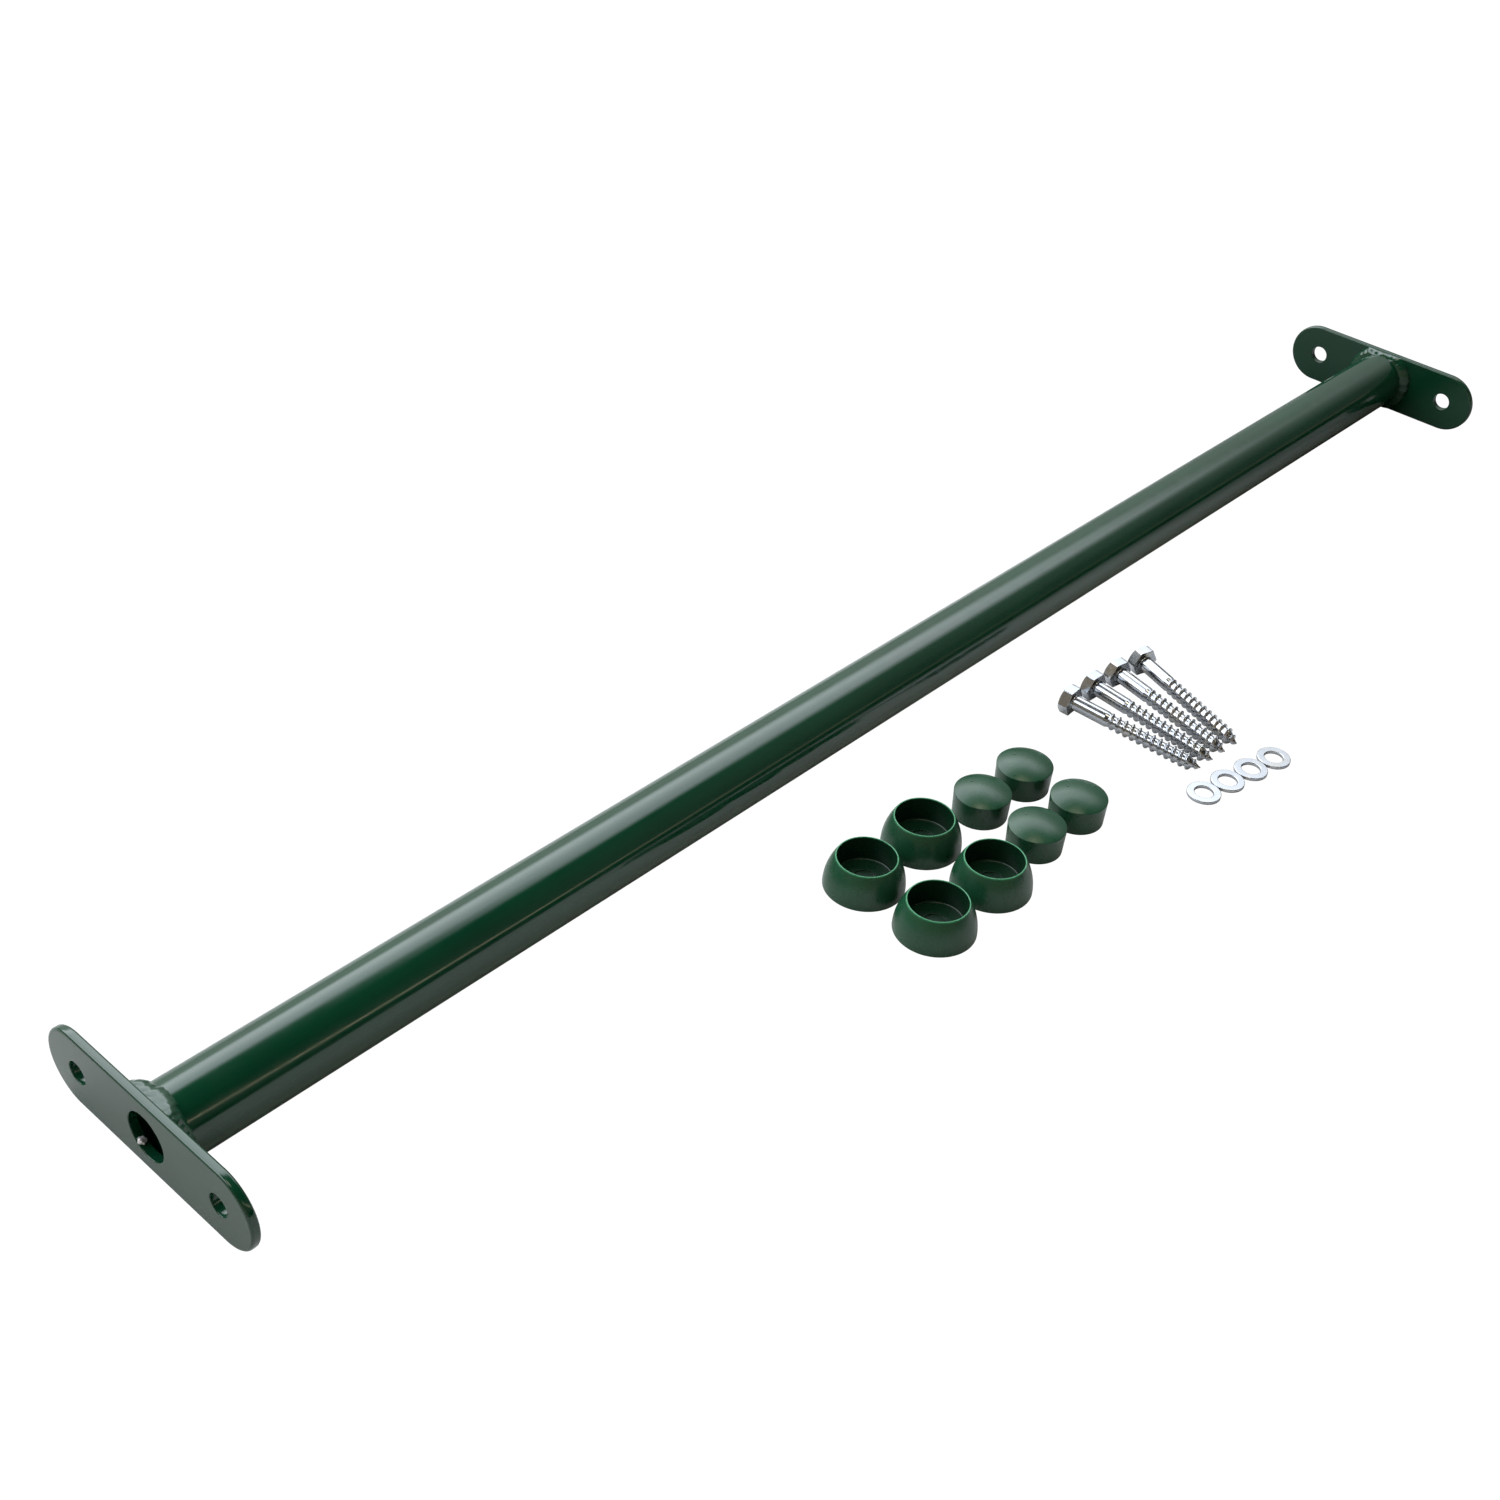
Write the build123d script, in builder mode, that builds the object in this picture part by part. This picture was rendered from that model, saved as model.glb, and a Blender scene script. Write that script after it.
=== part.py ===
"""Single monkey bar of welded, powder-coated steel, laid out with its fixing kit.

The bar is a round tube with a drilled end plate welded to each end. It is bolted between two
timber posts with four coach screws and washers, and a two-part plastic cover hides each head.
Origin: the middle of the tube, on its axis. +X along the bar, +Z up. Everything stands on one
floor, level with the lower long edges of the end plates.
"""
from build123d import *
import math
import os

# ---- bar: round tube between two flat end plates -------------------------------------------
bar_length = 900.0  # over the outer faces of the two end plates
tube_d = 32.0
tube_wall = 2.0
plate_side_margin = 1.5  # from the tube's side to the plate's long edge
plate_thickness = 4.0
bolt_spacing = 85.0  # between the two bolt holes of one plate
bolt_hole_clearance = 2.0  # over the screw's thread
bolt_end_margin = 19.0  # from a bolt hole's centre to the end of the plate
vent_hole_lip = 3.5  # from the tube's bore in to the vent hole, which lets coating drain
plate_edge_round = 0.8
weld_leg_on_plate = 4.5
weld_leg_on_tube = 6.0
weld_crown = 0.5  # how far the bead's face bulges past a straight fillet
weld_edge_gap = 0.3  # the bead is dressed back this far from the plate's long edges

# ---- M8 coach screw and its washer -----------------------------------------------------------
screw_length = 70.0  # under the head
screw_thread_d = 8.0
screw_core_d = 5.6
screw_shank_d = 7.6
screw_shank_length = 18.0
thread_pitch = 3.8
thread_crest_width = 0.35
thread_root_flank = 0.85  # axial width of one flank, from crest to core
screw_tip_length = 6.5
screw_tip_d = 0.6
head_across_flats = 13.0
head_height = 5.5
head_chamfer = 0.9
washer_d = 16.0
washer_hole_clearance = 1.0  # over the screw's thread
washer_thickness = 1.6
washer_edge_round = 0.3

# ---- two-part screw cover: base cup and push-in cap ---------------------------------------
base_bore_d = 26.0
base_foot_wall = 5.0  # from the bore out to the widest part of the foot
base_height = 15.5
base_foot_round = 0.3
base_rim_width = 0.5
base_floor = 3.5
knockout_clearance = 2.5  # thinned disc in the floor, over the screw driven through it
knockout_step = 0.5  # how far the disc lies below the cup's floor
knockout_skin = 0.8
cap_seat_overlap = 0.1  # the cap's widest edge is this much larger in radius than the bore
cap_draft = 0.45  # how much the skirt narrows in radius towards its open end
cap_skirt_height = 12.2
cap_dome_rise = 3.0
cap_wall = 1.5

# ---- where the loose fittings lie beside the bar ---------------------------------------------
base_group_centre = (-126.0, -94.8)
base_gap = (3.3, 2.7)
group_gap = 5.2  # between the cups and the caps
cap_group_y = -96.1
cap_gap = (4.3, 4.8)
cap_group_turn = -2.0
screw_count = 4
screw_tip_start = (29.8, -134.0)
screw_tip_gap = 1.8
screw_tip_row_turn = -3.5
screw_head_gap = 3.2
screw_heading_start = -86.9
washer_row_centre = (42.4, -147.9)
washer_row_turn = -10.1
washer_gap = 0.3

# ---- sizes that follow from the ones above ---------------------------------------------------
plate_width = tube_d + 2 * plate_side_margin
floor_z = -plate_width / 2
tube_r = tube_d / 2
tube_bore_r = tube_r - tube_wall
vent_hole_r = tube_bore_r - vent_hole_lip
bolt_hole_r = (screw_thread_d + bolt_hole_clearance) / 2
washer_hole_r = (screw_thread_d + washer_hole_clearance) / 2
knockout_r = (screw_thread_d + knockout_clearance) / 2
plate_length = bolt_spacing + 2 * bolt_end_margin
plate_inner_x = bar_length / 2 - plate_thickness
screw_tip_r = screw_tip_d / 2
core_r = screw_core_d / 2
thread_r = screw_thread_d / 2
last_full_thread = screw_length - screw_tip_length
screw_tilt = math.atan2((head_across_flats - screw_thread_d) / 2, last_full_thread)
head_corner_r = head_across_flats / 2 / math.cos(math.pi / 6)
screw_tip_pitch = screw_thread_d + screw_tip_gap
screw_head_pitch = 2 * head_corner_r + screw_head_gap
screw_heading_step = -math.degrees((screw_head_pitch - screw_tip_pitch) / screw_length)
base_bore_r = base_bore_d / 2
base_foot_r = base_bore_r + base_foot_wall
base_rim_r = base_bore_r + base_rim_width
knockout_top = base_floor - knockout_step
cap_rim_r = base_bore_r + cap_seat_overlap
cap_foot_r = cap_rim_r - cap_draft
cap_bore_r = cap_foot_r - cap_wall
base_pitch = (2 * base_foot_r + base_gap[0], 2 * base_foot_r + base_gap[1])
cap_pitch = (2 * cap_rim_r + cap_gap[0], 2 * cap_rim_r + cap_gap[1])
base_group_edge = base_group_centre[0] + base_pitch[0] / 2 + base_foot_r
cap_group_centre = (base_group_edge + group_gap + cap_rim_r + cap_pitch[0] / 2, cap_group_y)

os.makedirs("parts", exist_ok=True)


def save(piece, label):
    """Label one finished piece and write it as its own STEP file."""
    piece.part.label = label
    export_step(piece.part, f"parts/{label}.step")


def grid_places(centre, pitch, turn):
    """Four places on a two-by-two grid, from the back row to the front row."""
    angle = math.radians(turn)
    places = []
    for side_y in (0.5, -0.5):
        for side_x in (-0.5, 0.5):
            along = side_x * pitch[0]
            across = side_y * pitch[1]
            x = centre[0] + along * math.cos(angle) - across * math.sin(angle)
            y = centre[1] + along * math.sin(angle) + across * math.cos(angle)
            places.append((x, y))
    return places


def upright_section(x, y):
    """Plane for a turned profile: its first axis is radius, its second is height."""
    return Plane(origin=(x, y, floor_z), x_dir=(1, 0, 0), z_dir=(0, -1, 0))


# ---- tube --------------------------------------------------------------------------------------
with BuildPart() as tube:
    with BuildSketch(Plane.YZ.offset(-plate_inner_x)):
        Circle(tube_r)
        Circle(tube_bore_r, mode=Mode.SUBTRACT)
    extrude(amount=2 * plate_inner_x)
save(tube, "tube")


# ---- end plates: flat bar with round ends, two bolt holes and the vent hole -----------------
for side, inner_x, outward in (("left", -plate_inner_x, -1), ("right", plate_inner_x, 1)):
    with BuildPart() as plate:
        with BuildSketch(Plane.YZ.offset(inner_x)):
            SlotOverall(plate_length, plate_width)
            Circle(vent_hole_r, mode=Mode.SUBTRACT)
            with GridLocations(bolt_spacing, 1, 2, 1):
                Circle(bolt_hole_r, mode=Mode.SUBTRACT)
        extrude(amount=outward * plate_thickness)
        outer_wires = [face.outer_wire() for face in plate.faces().filter_by(Axis.X)]
        fillet([edge for wire in outer_wires for edge in wire.edges()], plate_edge_round)
    save(plate, f"end_plate_{side}")

    # weld: a fillet bead all round the tube, dressed back where it reaches the plate's edges
    with BuildPart() as weld:
        plate_toe = (inner_x, tube_r + weld_leg_on_plate)
        tube_toe = (inner_x - outward * weld_leg_on_tube, tube_r)
        crown = (
            inner_x - outward * (weld_leg_on_tube / 2 + weld_crown),
            tube_r + weld_leg_on_plate / 2 + weld_crown,
        )
        with BuildSketch(Plane.XY):
            with BuildLine():
                Line((inner_x, tube_r), plate_toe)
                ThreePointArc(plate_toe, crown, tube_toe)
                Line(tube_toe, (inner_x, tube_r))
            make_face()
        revolve(axis=Axis.X)
        dressed_height = plate_width - 2 * weld_edge_gap
        Box(
            4 * weld_leg_on_tube + abs(2 * inner_x),
            plate_length,
            dressed_height,
            mode=Mode.INTERSECT,
        )
    save(weld, f"weld_{side}")


# ---- coach screws: each lies on its head and its thread, so its axis dips to the point -------
def thread_outline():
    """Half section of shank, ring thread and point, as (distance from head, radius) points."""
    outline = [(0, 0), (0, screw_shank_d / 2), (screw_shank_length, screw_shank_d / 2)]
    outline.append((screw_shank_length + thread_root_flank, core_r))
    turn_count = int((screw_length - screw_shank_length - thread_pitch) / thread_pitch)
    crest_half = thread_crest_width / 2
    foot_half = crest_half + thread_root_flank
    for turn in range(turn_count):
        centre = screw_shank_length + thread_pitch * (turn + 1)
        past_full = max(0.0, centre - last_full_thread) / screw_tip_length
        shrink = 1 - past_full
        crest_r = screw_tip_r + (thread_r - screw_tip_r) * shrink
        foot_r = screw_tip_r + (core_r - screw_tip_r) * shrink
        outline.append((centre - foot_half, foot_r))
        outline.append((centre - crest_half, crest_r))
        outline.append((centre + crest_half, crest_r))
        outline.append((centre + foot_half, foot_r))
    outline.append((screw_length, screw_tip_r))
    outline.append((screw_length, 0))
    return outline


for index in range(screw_count):
    heading = math.radians(screw_heading_start + index * screw_heading_step)
    axis_dir = Vector(
        math.cos(heading) * math.cos(screw_tilt),
        math.sin(heading) * math.cos(screw_tilt),
        -math.sin(screw_tilt),
    )
    side_dir = Vector(-math.sin(heading), math.cos(heading), 0)
    row_angle = math.radians(screw_tip_row_turn)
    tip_x = screw_tip_start[0] + index * screw_tip_pitch * math.cos(row_angle)
    tip_y = screw_tip_start[1] + index * screw_tip_pitch * math.sin(row_angle)
    under_head = Vector(
        tip_x - axis_dir.X * screw_length,
        tip_y - axis_dir.Y * screw_length,
        floor_z + math.cos(screw_tilt) * head_across_flats / 2,
    )
    head_plane = Plane(origin=under_head, x_dir=side_dir, z_dir=-axis_dir)
    section_plane = Plane(origin=under_head, x_dir=axis_dir, z_dir=-side_dir)
    with BuildPart() as screw:
        with BuildSketch(head_plane):
            RegularPolygon(head_across_flats / 2, 6, major_radius=False)
        extrude(amount=head_height)
        with BuildSketch(section_plane):
            with BuildLine():
                Polyline(
                    (0, 0),
                    (0, head_corner_r),
                    (-head_height + head_chamfer / 2, head_corner_r),
                    (-head_height, head_corner_r - head_chamfer),
                    (-head_height, 0),
                    close=True,
                )
            make_face()
        revolve(axis=Axis(under_head, axis_dir), mode=Mode.INTERSECT)
        with BuildSketch(section_plane):
            with BuildLine():
                Polyline(*thread_outline(), close=True)
            make_face()
        revolve(axis=Axis(under_head, axis_dir))
    save(screw, f"lag_screw_{index + 1}")


# ---- washers: flat stamped rings in a row, just clear of each other --------------------------
for index in range(screw_count):
    row_angle = math.radians(washer_row_turn)
    along = (index - (screw_count - 1) / 2) * (washer_d + washer_gap)
    washer_x = washer_row_centre[0] + along * math.cos(row_angle)
    washer_y = washer_row_centre[1] + along * math.sin(row_angle)
    with BuildPart() as washer:
        with BuildSketch(Plane(origin=(washer_x, washer_y, floor_z))):
            Circle(washer_d / 2)
            Circle(washer_hole_r, mode=Mode.SUBTRACT)
        extrude(amount=washer_thickness)
        top_edges = washer.faces().sort_by(Axis.Z)[-1].edges()
        fillet(top_edges, washer_edge_round)
    save(washer, f"washer_{index + 1}")


# ---- cover bases: barrel-sided cups that sit under the screw's washer ------------------------
for index, (x, y) in enumerate(grid_places(base_group_centre, base_pitch, 0), 1):
    with BuildPart() as base:
        with BuildSketch(upright_section(x, y)):
            with BuildLine():
                foot_start = (base_foot_r - base_foot_round, 0)
                wall_start = (base_foot_r, base_foot_round)
                Line((knockout_r, 0), foot_start)
                TangentArc(foot_start, wall_start, tangent=(1, 0))
                TangentArc(wall_start, (base_rim_r, base_height), tangent=(0, 1))
                Polyline(
                    (base_rim_r, base_height),
                    (base_bore_r, base_height),
                    (base_bore_r, base_floor),
                    (knockout_r, base_floor),
                    (knockout_r, knockout_top),
                    (0, knockout_top),
                    (0, knockout_top - knockout_skin),
                    (knockout_r, knockout_top - knockout_skin),
                    (knockout_r, 0),
                )
            make_face()
        revolve(axis=Axis((x, y, floor_z), (0, 0, 1)))
    save(base, f"cover_base_{index}")


# ---- cover caps: hollow plugs with a low dome, open underneath -------------------------------
for index, (x, y) in enumerate(grid_places(cap_group_centre, cap_pitch, cap_group_turn), 1):
    cap_top = cap_skirt_height + cap_dome_rise
    with BuildPart() as cap:
        with BuildSketch(upright_section(x, y)):
            with BuildLine():
                Polyline((cap_bore_r, 0), (cap_foot_r, 0), (cap_rim_r, cap_skirt_height))
                TangentArc((0, cap_top), (cap_rim_r, cap_skirt_height), tangent=(1, 0))
                Line((0, cap_top), (0, cap_top - cap_wall))
                TangentArc(
                    (0, cap_top - cap_wall),
                    (cap_bore_r, cap_skirt_height - cap_wall),
                    tangent=(1, 0),
                )
                Line((cap_bore_r, cap_skirt_height - cap_wall), (cap_bore_r, 0))
            make_face()
        revolve(axis=Axis((x, y, floor_z), (0, 0, 1)))
    save(cap, f"cover_cap_{index}")
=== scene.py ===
"""A single green monkey bar with its coach screws, washers and screw covers, laid out for fitting.

The file goes through the object in the order it is made and packed: the studio it lies in, the
tube, the end plates, the weld beads, the screws, the washers, and the two halves of the covers.
"""
import math

import bmesh
import bpy
from mathutils import Matrix, Vector, noise


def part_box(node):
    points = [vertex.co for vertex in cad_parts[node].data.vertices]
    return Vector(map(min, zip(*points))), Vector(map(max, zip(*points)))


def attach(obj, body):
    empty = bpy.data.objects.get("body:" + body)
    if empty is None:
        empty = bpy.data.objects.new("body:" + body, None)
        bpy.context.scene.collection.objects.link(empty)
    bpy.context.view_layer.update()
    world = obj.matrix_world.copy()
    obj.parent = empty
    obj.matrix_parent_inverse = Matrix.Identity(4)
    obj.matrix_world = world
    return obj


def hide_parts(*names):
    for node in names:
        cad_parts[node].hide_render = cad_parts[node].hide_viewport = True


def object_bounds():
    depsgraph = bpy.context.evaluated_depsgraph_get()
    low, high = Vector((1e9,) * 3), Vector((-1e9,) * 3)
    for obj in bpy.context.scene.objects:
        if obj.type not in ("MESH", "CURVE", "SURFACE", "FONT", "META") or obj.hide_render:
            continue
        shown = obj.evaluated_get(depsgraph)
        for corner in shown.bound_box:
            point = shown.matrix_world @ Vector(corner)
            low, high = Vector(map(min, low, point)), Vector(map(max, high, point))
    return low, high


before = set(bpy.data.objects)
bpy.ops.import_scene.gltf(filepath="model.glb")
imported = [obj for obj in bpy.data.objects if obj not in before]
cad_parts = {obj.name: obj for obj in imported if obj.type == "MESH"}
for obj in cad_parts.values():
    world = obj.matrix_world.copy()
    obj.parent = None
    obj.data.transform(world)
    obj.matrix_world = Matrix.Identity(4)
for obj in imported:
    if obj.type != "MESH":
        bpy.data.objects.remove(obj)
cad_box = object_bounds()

# ---- studio ------------------------------------------------------------------------------------
# A white table, one broad soft light behind and to the right, and a dark room in front. The
# gloss of the bar is a picture of this room, so the light's place decides every band on it.
CAMERA_PLACE = (-0.6762, -0.4497, 0.5373)
CAMERA_TURN = (52.92, -3.526, -47.453)
CAMERA_LENS = 47.59
CAMERA_CLIP = (0.01, 100.0)
LIGHT_COLOUR = "f0f7ff"
LIGHT_RADIANCE = (3.53, 4.6)
LIGHT_LEAN = 0.25
LIGHT_LEAN_FROM = 12.0
LIGHT_BACK_SLOPE = -2.2
WALL_COLOUR = "ffffff"
FRONT_LEFT_EDGE = (-85, -75)
FRONT_RIGHT_EDGE = (-20, 2)
FRONT_GLOW = 0.27
FRONT_BASE = 0.13
BATTEN_COLOUR = "ffefcb"
BATTEN_CURVE = (-0.2, -13.6)
BATTEN_HEIGHT = (14.0, 9.5)
BATTEN_HALF_WIDTH = (0.5, 1.9)
BATTEN_RADIANCE = (8.0, 1.8)
OVERHEAD_COLOUR = "ffefd4"
OVERHEAD_RADIANCE = 5.0
LEFT_COLOUR = "ffecce"
LEFT_RADIANCE = (0.4, 0.05)
BACKDROP_WHITE = "ffffff"
FILL_COLOUR = "fcfffc"
FILL_PLACE = (-0.17, -0.12, 0.42)
FILL_POWER = 0.35
FILL_SIZE = 0.3
FLOOR_HALF = 30.0
FLOOR_ALBEDO = (0.58, 0.25)
FLOOR_ALBEDO_SPAN = (0.15, 0.42)
FLOOR_GLOW = 1.06
FLOOR_SHADOW_SHARE = 0.04


def add(tree, kind, *values, named=None, **settings):
    """Add a node: its settings, then its inputs by order and by name, as values or links."""
    new = tree.nodes.new(kind)
    for key, value in settings.items():
        setattr(new, key, value)
    filled = list(enumerate(values)) + list((named or {}).items())
    for key, value in filled:
        if isinstance(value, bpy.types.Node):
            value = value.outputs[0]
        if isinstance(value, bpy.types.NodeSocket):
            tree.links.new(value, new.inputs[key])
        elif value is not None:
            new.inputs[key].default_value = value
    return new


def blend(tree, share, first, second):
    """The colour socket of a mix of two colours."""
    mix = add(tree, "ShaderNodeMix", data_type="RGBA", named={0: share, 6: first, 7: second})
    return mix.outputs[2]


def linear(hex_colour):
    """An sRGB hex colour as linear RGBA."""
    parts = [int(hex_colour[place : place + 2], 16) / 255 for place in (0, 2, 4)]
    levels = [part / 12.92 if part <= 0.04045 else ((part + 0.055) / 1.055) ** 2.4 for part in parts]
    return (*levels, 1.0)


def degrees(*angles):
    """Angles in degrees as a tuple of radians."""
    return tuple(math.radians(angle) for angle in angles)


scene = bpy.context.scene
scene.view_settings.view_transform = "Standard"
camera_data = bpy.data.cameras.new("camera")
camera_data.lens = CAMERA_LENS
camera_data.clip_start, camera_data.clip_end = CAMERA_CLIP
camera = bpy.data.objects.new("camera", camera_data)
camera.location = CAMERA_PLACE
camera.rotation_euler = degrees(*CAMERA_TURN)
scene.collection.objects.link(camera)
scene.camera = camera

# The room by direction, in degrees: azimuth turns from +X towards +Y, elevation rises from the floor.
world = bpy.data.worlds.new("studio_room")
scene.world = world
world.use_nodes = True
room = world.node_tree
room.nodes.clear()
toward = add(room, "ShaderNodeSeparateXYZ", add(room, "ShaderNodeTexCoord"))
azimuth_turn = add(room, "ShaderNodeMath", toward.outputs[1], toward.outputs[0], operation="ARCTAN2")
azimuth = add(room, "ShaderNodeMath", azimuth_turn, operation="DEGREES")
elevation_turn = add(room, "ShaderNodeMath", toward.outputs[2], operation="ARCSINE")
elevation = add(room, "ShaderNodeMath", elevation_turn, operation="DEGREES")


def ramp(value, start, end, low=0.0, high=1.0, smooth=False):
    """A clamped ramp on a direction or a mask."""
    kind = "SMOOTHSTEP" if smooth else "LINEAR"
    return add(room, "ShaderNodeMapRange", value, start, end, low, high, interpolation_type=kind)


def product(*values):
    """The product of several masks."""
    total = values[0]
    for value in values[1:]:
        total = add(room, "ShaderNodeMath", total, value, operation="MULTIPLY")
    return total


def tinted(level, colour):
    """A colour scaled by a level."""
    shade = add(room, "ShaderNodeVectorMath", linear(colour)[:3], operation="SCALE")
    room.links.new(level.outputs[0], shade.inputs["Scale"])
    return shade


# the broad soft light behind: its lower edge falls away to the left, where it is also stronger
sunk = add(room, "ShaderNodeMath", azimuth, LIGHT_LEAN_FROM, operation="MAXIMUM")
lean = add(room, "ShaderNodeMath", sunk, LIGHT_LEAN, elevation, operation="MULTIPLY_ADD")
back = add(room, "ShaderNodeMath", elevation, LIGHT_BACK_SLOPE, azimuth, operation="MULTIPLY_ADD")
behind = ramp(back, 70, 82, 1.0, 0.0)
light_level = product(
    ramp(azimuth, -14, 3),
    behind,
    ramp(lean, 36, 49, smooth=True),
    ramp(elevation, 56, 66, 1.0, 0.0, smooth=True),
    ramp(azimuth, 0, 50, *LIGHT_RADIANCE),
)
# the pale wall under it, lighter near the light
wall_glow = add(room, "ShaderNodeMath", ramp(lean, 18, 38, 0.0, 0.5), ramp(azimuth, 20, 60, 0.28, 0.7))
wall_level = product(
    wall_glow,
    ramp(azimuth, *FRONT_RIGHT_EDGE),
    behind,
    ramp(elevation, 40, 54, 1.0, 0.0),
)
# the dim front of the room, black along the floor, and a pale batten leaning in its corner
front = product(ramp(azimuth, *FRONT_LEFT_EDGE), ramp(azimuth, *FRONT_RIGHT_EDGE, 1.0, 0.0))
front_glow = product(
    ramp(azimuth, -56, -20, 0.0, FRONT_GLOW),
    ramp(elevation, 22, 32),
    ramp(elevation, 43, 55, 1.0, 0.0),
)
front_base = ramp(elevation, 26, 44, FRONT_BASE, 0.0)
front_sum = add(room, "ShaderNodeMath", front_glow, front_base)
front_level = product(front_sum, front, ramp(elevation, 8, 12))
batten_turn = add(room, "ShaderNodeMath", azimuth, *BATTEN_CURVE, operation="MULTIPLY_ADD")
batten_rise = add(room, "ShaderNodeMath", batten_turn, operation="EXPONENT")
batten_height = add(room, "ShaderNodeMath", batten_rise, *BATTEN_HEIGHT, operation="MULTIPLY_ADD")
batten_off = add(room, "ShaderNodeMath", elevation, batten_height, operation="SUBTRACT")
batten_aside = add(room, "ShaderNodeMath", batten_off, operation="ABSOLUTE")
batten_level = product(
    ramp(batten_aside, *BATTEN_HALF_WIDTH, 1.0, 0.0),
    ramp(azimuth, -70, -57, *BATTEN_RADIANCE),
    ramp(azimuth, -57, -44, 1.0, 0.2),
    front,
)
# a small warm lamp straight above, and the brown side of the room on the left
lamp_level = ramp(elevation, 78, 82, 0.0, OVERHEAD_RADIANCE)
left_side = add(room, "ShaderNodeMath", 1.0, ramp(azimuth, *FRONT_LEFT_EDGE), operation="SUBTRACT")
far_side = add(room, "ShaderNodeMath", 1.0, behind, operation="SUBTRACT")
side = add(room, "ShaderNodeMath", left_side, far_side, operation="MAXIMUM")
side_level = product(side, ramp(elevation, -2, 0), ramp(elevation, 20, 36, *LEFT_RADIANCE))
parts = [
    tinted(light_level, LIGHT_COLOUR),
    tinted(wall_level, WALL_COLOUR),
    tinted(front_level, WALL_COLOUR),
    tinted(batten_level, BATTEN_COLOUR),
    tinted(lamp_level, OVERHEAD_COLOUR),
    tinted(side_level, LEFT_COLOUR),
]
total = parts[0]
for part in parts[1:]:
    total = add(room, "ShaderNodeVectorMath", total, part, operation="ADD")
ray = add(room, "ShaderNodeLightPath")
seen = blend(room, ray.outputs["Is Camera Ray"], total, linear(BACKDROP_WHITE))
backdrop = add(room, "ShaderNodeBackground", seen, 1.0)
add(room, "ShaderNodeOutputWorld", backdrop)

# a hidden lamp over the middle, strongest on the half of the bar nearer the left plate
fill_data = bpy.data.lights.new("fill_lamp", "AREA")
fill_data.energy = FILL_POWER
fill_data.size = FILL_SIZE
fill_data.color = linear(FILL_COLOUR)[:3]
fill = bpy.data.objects.new("fill_lamp", fill_data)
fill.location = FILL_PLACE
fill.visible_glossy = False
scene.collection.objects.link(fill)

# white table top: the camera sees an even white with a little of the real shading left, and every
# other ray sees a matt table with painted shade that darkens it towards the right plate
floor_z = cad_box[0][2]
floor_mesh = bpy.data.meshes.new("floor")
corners = [(-1, -1), (1, -1), (1, 1), (-1, 1)]
floor_mesh.from_pydata([(x * FLOOR_HALF, y * FLOOR_HALF, floor_z) for x, y in corners], [], [(0, 1, 2, 3)])
floor = bpy.data.objects.new("floor", floor_mesh)
scene.collection.objects.link(floor)
table_white = bpy.data.materials.new("matt_white_table")
table_white.use_nodes = True
tree = table_white.node_tree
tree.nodes.clear()
spot = add(tree, "ShaderNodeSeparateXYZ", add(tree, "ShaderNodeTexCoord").outputs["Object"])
# painted shade: the matt colour falls along the table, darkest by the right plate
worn = add(tree, "ShaderNodeMapRange", spot.outputs[0], *FLOOR_ALBEDO_SPAN, *FLOOR_ALBEDO)
matt = add(tree, "ShaderNodeBsdfDiffuse", worn)
white = add(tree, "ShaderNodeEmission", linear(BACKDROP_WHITE), FLOOR_GLOW)
ray = add(tree, "ShaderNodeLightPath")
lit_share = add(
    tree, "ShaderNodeMath", ray.outputs["Is Camera Ray"], 1 - FLOOR_SHADOW_SHARE, operation="MULTIPLY"
)
add(tree, "ShaderNodeOutputMaterial", add(tree, "ShaderNodeMixShader", lit_share, matt, white))
floor_mesh.materials.append(table_white)

# ---- tube --------------------------------------------------------------------------------------
# The rung: round steel tube, cut square and welded between the end plates. The welded bar is
# powder coated in one piece, inside and out.
TUBE_SEGMENTS = 160
TUBE_BORE_RADIUS = 0.014
COAT_GREEN = "0b3a25"
COAT_GREEN_DEEP = "082f1e"
COAT_ROUGHNESS = 0.12
ORANGE_PEEL_MM = 2.6
TUBE_END_ROUND = 0.0002


def per_metre(millimetres):
    """Texture scale at which one cell of a pattern is this many millimetres wide."""
    return 1000.0 / millimetres


def speckle(tree, where, millimetres, detail):
    """Noise with cells of this many millimetres."""
    scale = per_metre(millimetres)
    return add(tree, "ShaderNodeTexNoise", named={"Vector": where, "Scale": scale, "Detail": detail})


def relief(tree, height, strength, distance):
    """A bump made from a pattern."""
    sizes = {"Strength": strength, "Distance": distance, "Height": height}
    return add(tree, "ShaderNodeBump", named=sizes)


def rounded(corners, steps=6):
    """An outline of (radius, height, rounding) corners, each rounding drawn as an arc."""
    points = []
    for index, (r, z, rounding) in enumerate(corners):
        here = Vector((r, z))
        if rounding == 0:
            points.append((r, z))
            continue
        before = (Vector(corners[index - 1][:2]) - here).normalized()
        after = (Vector(corners[(index + 1) % len(corners)][:2]) - here).normalized()
        half_angle = before.angle(after) / 2
        centre = here + (before + after).normalized() * (rounding / math.sin(half_angle))
        start = here + before * (rounding / math.tan(half_angle)) - centre
        end = here + after * (rounding / math.tan(half_angle)) - centre
        for step in range(steps + 1):
            spoke = start.lerp(end, step / steps).normalized() * rounding
            points.append(tuple(centre + spoke))
    return points


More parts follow.
